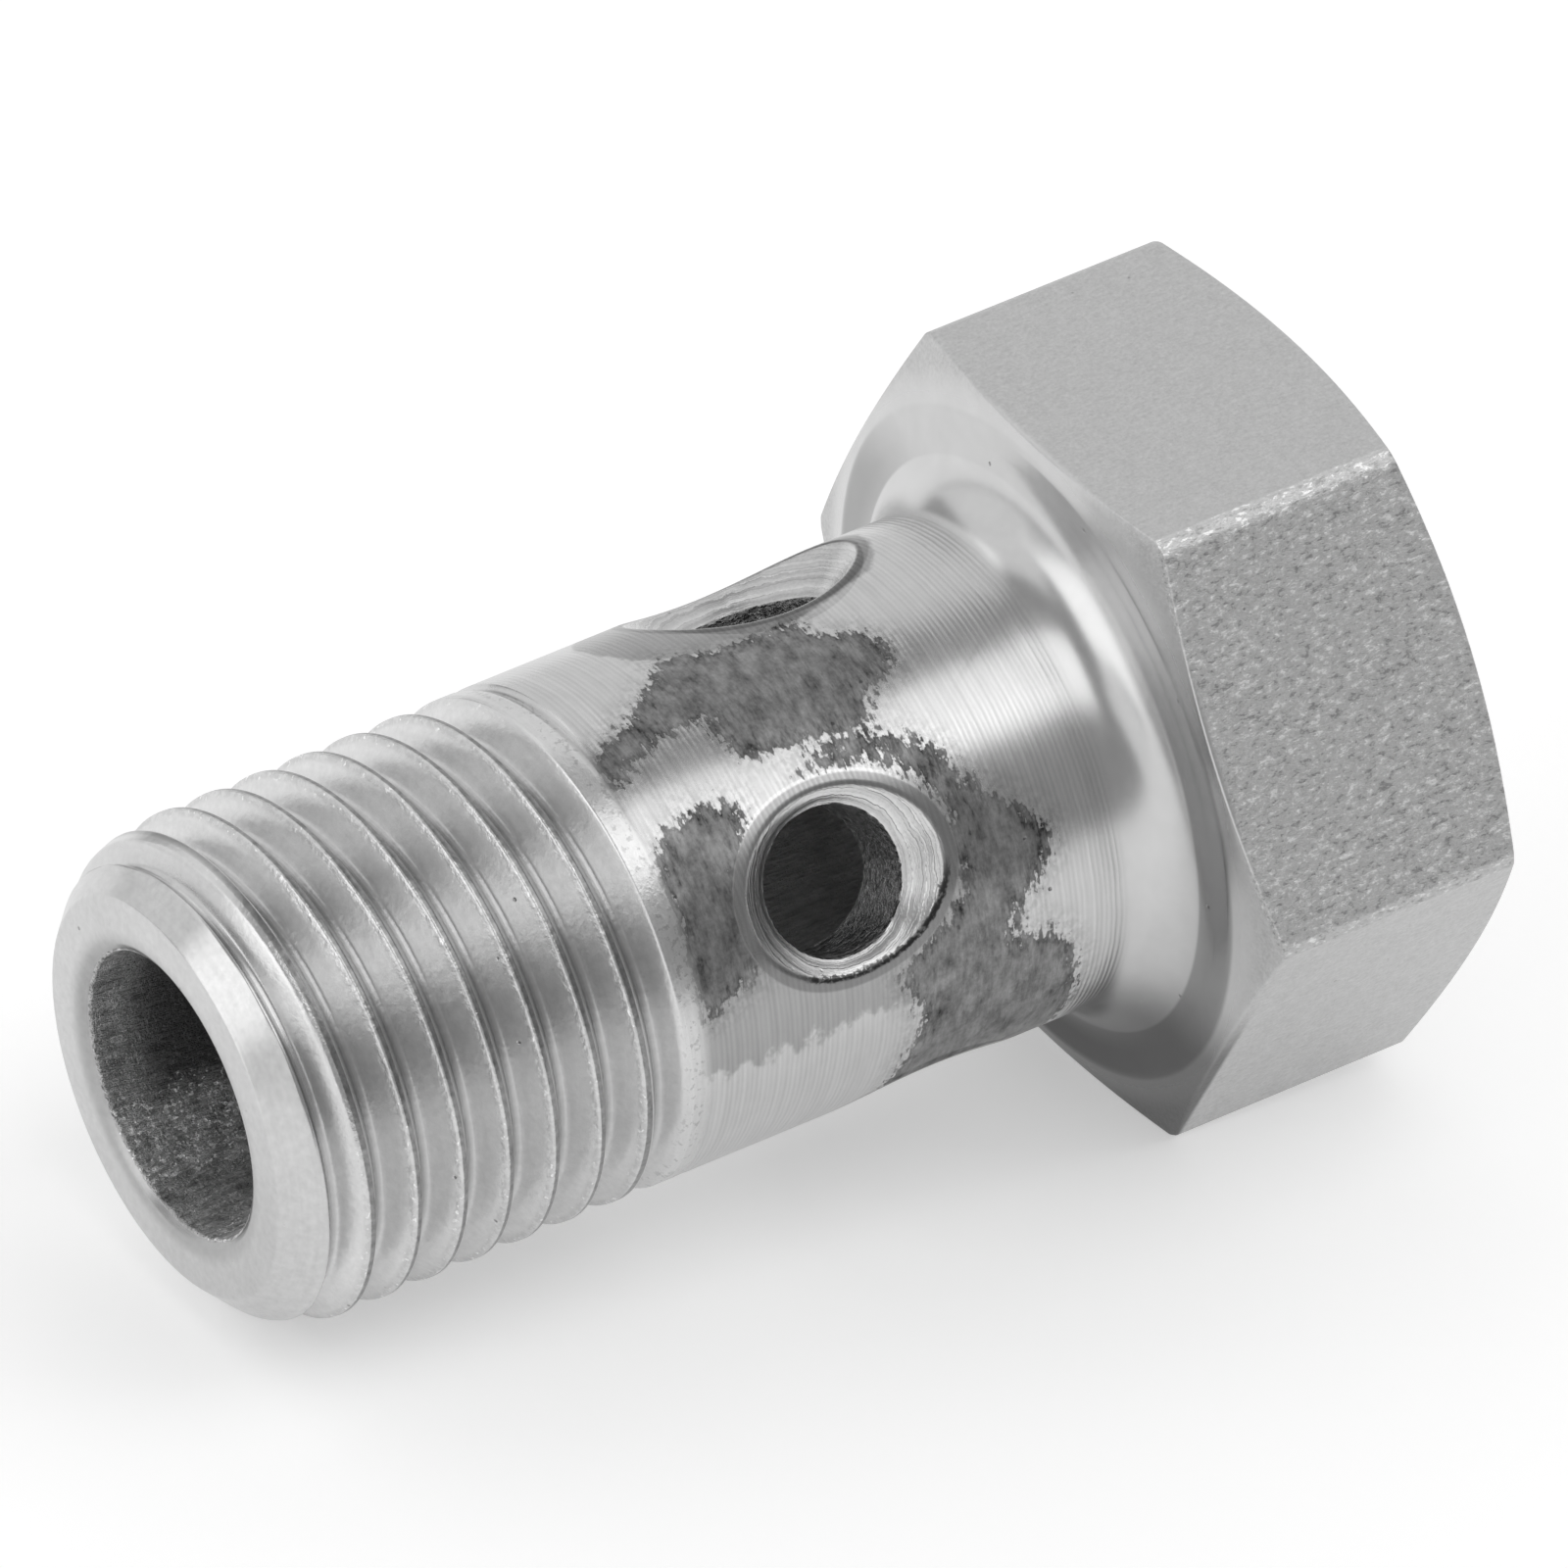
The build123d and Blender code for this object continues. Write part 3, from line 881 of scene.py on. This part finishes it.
# %% Bands of the thread
# The phase rises from 0 on one crest to 1 on the next, as in the shape of the thread
climb = s - turned / (2 * math.pi) - crest_line(0)
phase = climb.math("FRACT", climb)
early = (phase + 0.04).math("FRACT", phase + 0.04)
crest_zone = s.step(-10.9, -11.3) * s.step(-18.1, -17.8)
near_crest = (1 - phase).step(0.16, 0.1) * (1 - phase).step(0.0, 0.03) * crest_zone
# Painted shade: a dark line just past each crest, where the groove is hidden behind it
painted_shade_beside_crest = early.step(0.0, 0.03) * early.step(0.15, 0.12) * crest_zone
# Painted light on the flank that faces the end
painted_light_end_flank = phase.step(0.5, 0.62) * thread_zone
# Painted shade in the root of the groove
root = (phase & (1 - phase)).step(0.38, 0.48) * thread_zone
run_out = s.step(-10.95, -10.75) * s.step(-10.4, -10.5)
print("nodes with the thread's bands:", len(tree.nodes))

# %% Patches and rings round the cross holes
# Distance inside the nearest patch, made ragged, and what it gives: the patch, its dark rim and a
# faint smudge outside it. The halo is the clean ring round each countersink.
ragged = stain + swing(teeth, 0.8) + swing(crumbs, 0.7)
halo = (low_rim.step(2.4, 2.34) | high_rim.step(2.62, 2.56)) * skin_zone
dull = ragged.step(-0.07, 0.07) * skin_zone * (1 - halo)
rim_of_dull = dull * ragged.step(0.3, 0.05)
smudge = stain.step(-0.75, 0) * crumbs.step(0.38, 0.6) * skin_zone * (1 - halo)
buffed = (polished + swing(crumbs, 0.15)).step(-0.05, 0.08) * skin_zone * (1 - dull)
# Round the lower hole: a painted highlight line on the halo's edge, and nicks in the low side of the rim
painted_highlight_halo_edge = low_rim.step(2.36, 2.39) * low_rim.step(2.45, 2.42) * turned.step(1.2, 0.9) * skin_zone
jagged = low_rim + swing(crumbs, 0.3)
nicks = (jagged.step(2.06, 2.1) * jagged.step(2.22, 2.18) * crumbs.step(0.4, 0.46)
         * turned.step(1.08, 1.2) * s.step(-8.3, -7.9) * solid)
# A band of painted shade on the shank's side towards the thread, with a wavy edge
wavy = turned + swing(mottle, 0.3)
painted_shade_band = wavy.step(1.66, 1.6) * wavy.step(1.1, 1.3) * s.step(-3.6, -4.4) * skin_zone
print("nodes with the patches and rings:", len(tree.nodes))

# %% Marks of the lathe and the drill, and pits
# Feed marks of the lathe lie 0.11 mm apart, since a sine repeats every 2 pi = 57 x 0.11
wobble = s * 57 + swing(mottle, 3)
feed = wobble.math("SINE", wobble)
circles = add_node(tree, "ShaderNodeTexNoise", {"noise_dimensions": "1D"}, {
    "W": (lower & upper) * 9 + mottle * 1.5, "Scale": 1, "Detail": 3, "Roughness": 0.7})
# Where the bore is painted lighter, with scuffs and painted light: near its mouth, and low down
near_mouth = (s + swing(scratches, 1.4) + swing(mottle, 1.5)).step(-17.5, -18.5)
scuffed_and_lit_low = (a + swing(scratches, 0.8)).step(-1.6, -2.1) * s.step(-15.6, -16.8)
# Each cell of a cell pattern may hold one small pit in its middle, and half of them do
lots = {"Vector": here, "Scale": 1.1, "Randomness": 1}
cells = add_node(tree, "ShaderNodeTexVoronoi", {}, lots)
lot = add_node(tree, "ShaderNodeSeparateColor", {}, {
    0: add_node(tree, "ShaderNodeTexVoronoi", {}, lots, output="Color")}, output=0)
pits = cells.step(0.055, 0.02) * lot.step(0.45, 0.55) * (1 - bore_zone)
print("nodes with the marks and pits:", len(tree.nodes))

# %% [markdown]
# ## Colour, gloss and relief
# The colour is one grey tone, from 0 for black to 1 for white. It starts at the tone of clean steel,
# and each zone in turn adds to it, or scales it, or takes its place.

# %% Tone of the head and the thread
tone = 0.6 + swing(mottle, 0.1)
# A grain on the flats, flecks on the front one, a painted highlight on one broken corner, and painted shade
# on the seat
front_tone = light_flecks * 0.2 - dark_flecks * 0.17 - 0.03
tone = tone + head_zone * (swing(fine, 0.22) + swing(flecks, 0.2) - 0.04 + front * front_tone)
# Painted highlight: the broken corner that faces the camera is lighter, with bright flecks as glints
tone = tone + corner * (0.12 + light_flecks * 0.45)
# Painted shade: the seat's ring a little darker all round and much darker towards the bottom, and the
# underside darker
tone = tone * (1 - seat_ring * (0.06 + a.step(5, 2.5) * 0.34)) * (1 - painted_shade_underside * 0.66)
# The thread: painted light on its side towards the end, and painted shade in its root and on the line beside
# each crest
outer = (thread_zone | end_zone) * (1 - bore_zone)
tone = tone + outer * (0.04 + swing(crumbs, 0.2) + swing(rings, 0.12)) + painted_light_end_flank * 0.05
tone = tone * (1 - root * 0.3) * (1 - painted_shade_beside_crest * (0.25 + crumbs * 0.7))
# Painted glints near the crests, with a few darker flecks of painted shade between them
tone = tone + near_crest * (painted_glints * 0.35 - crumbs.step(0.4, 0.56) * 0.12)
tone = tone * (1 - run_out * crumbs.step(0.53, 0.64) * 0.3)
# Painted shade: the end face a little darker all over, and darker still round the bore's lip
tone = tone * (1 - end_zone * (0.08 + rho.step(3.4, 2.95) * 0.3))
print("nodes with the head's and the thread's tone:", len(tree.nodes))

# %% Tone of the shank, the cross holes and the bore
tone = tone + skin_zone * (swing(rings, 0.16) + feed * 0.025 - 0.05)
# Painted shade on the band, a darker buffed ring and halo, and a painted highlight line on the halo's edge
tone = tone * (1 - painted_shade_band * 0.34) * (1 - buffed * 0.4) * (1 - halo * 0.36) + painted_highlight_halo_edge * 0.1
# The patches cover the steel's tone; the cones add to it; the bore has its own, painted dark as shade
dull_tone = 0.22 + swing(mottle, 0.55) + swing(teeth, 0.2) + swing(fine, 0.12) - rim_of_dull * 0.07
tone = tone * (1 - smudge * 0.22) * (1 - dull) + dull * dull_tone
tone = tone + cone_zone * (0.02 + swing(circles, 0.5) + swing(fine, 0.15)) - high_cone * 0.1
# The drilled holes are painted darker as shade, with streaks of scratches
tone = tone * (1 - 0.66 * tube_zone) + tube_zone * swing(scratches, 0.9)
scuffs_and_painted_light = (near_mouth | scuffed_and_lit_low) * (0.33 + swing(scratches, 0.9) + swing(mottle, 0.9))
painted_glint_tone = scuffed_and_lit_low * a.step(-2.8, -2.5) * (glint_specks * 2 + 0.08)
deep_tone = s.step(-12, -9.5) * (0.1 + 0.5 * scratches)
# The bore is painted dark as shade, lighter near its mouth and low down with scuffs, painted light and
# painted glints, and lighter with scratches towards the cross holes
tone = tone * (1 - bore_zone) + bore_zone * (0.17 + scuffs_and_painted_light + painted_glint_tone + deep_tone)
tone = tone * (1 - pits * 0.5) * (1 - nicks * 0.75)
print("nodes with the whole tone:", len(tree.nodes))

# %% Gloss and relief
gloss = 0.26 + swing(mottle, 0.06) + top_zone * 0.15 + dull * 0.2
gloss = gloss + head_zone * 0.25 + thread_zone * 0.04 + bore_zone * 0.4
relief = skin_zone * (1 - dull) * (feed * 0.0009 + swing(rings, 0.003)) + dull * swing(teeth, 0.018)
relief = relief + head_zone * (swing(fine, 0.008) + front * swing(flecks, 0.035))
relief = relief + (crumbs - 0.5) * (thread_zone * 0.008 + near_crest * 0.015)
relief = relief + cone_zone * swing(circles, 0.02)
relief = relief + (bore_zone | tube_zone) * (swing(scratches, 0.2) + swing(fine, 0.05)) - pits * 0.015
print("nodes with gloss and relief:", len(tree.nodes))

# %% Into the shader
colour = add_node(tree, "ShaderNodeMix", {"data_type": "RGBA"},
                  {0: tone, 6: (0, 0, 0, 1), 7: (1, 1, 1, 1)}, output=2)
bump = add_node(tree, "ShaderNodeBump", {}, {"Height": relief, "Strength": 1, "Distance": 0.001})
for name, wire in (("Base Color", colour), ("Roughness", gloss), ("Normal", bump)):
    tree.links.new(wire.socket, metal.inputs[name])
bolt.data.materials.append(steel)
print("nodes in the steel:", len(tree.nodes))

# %% [markdown]
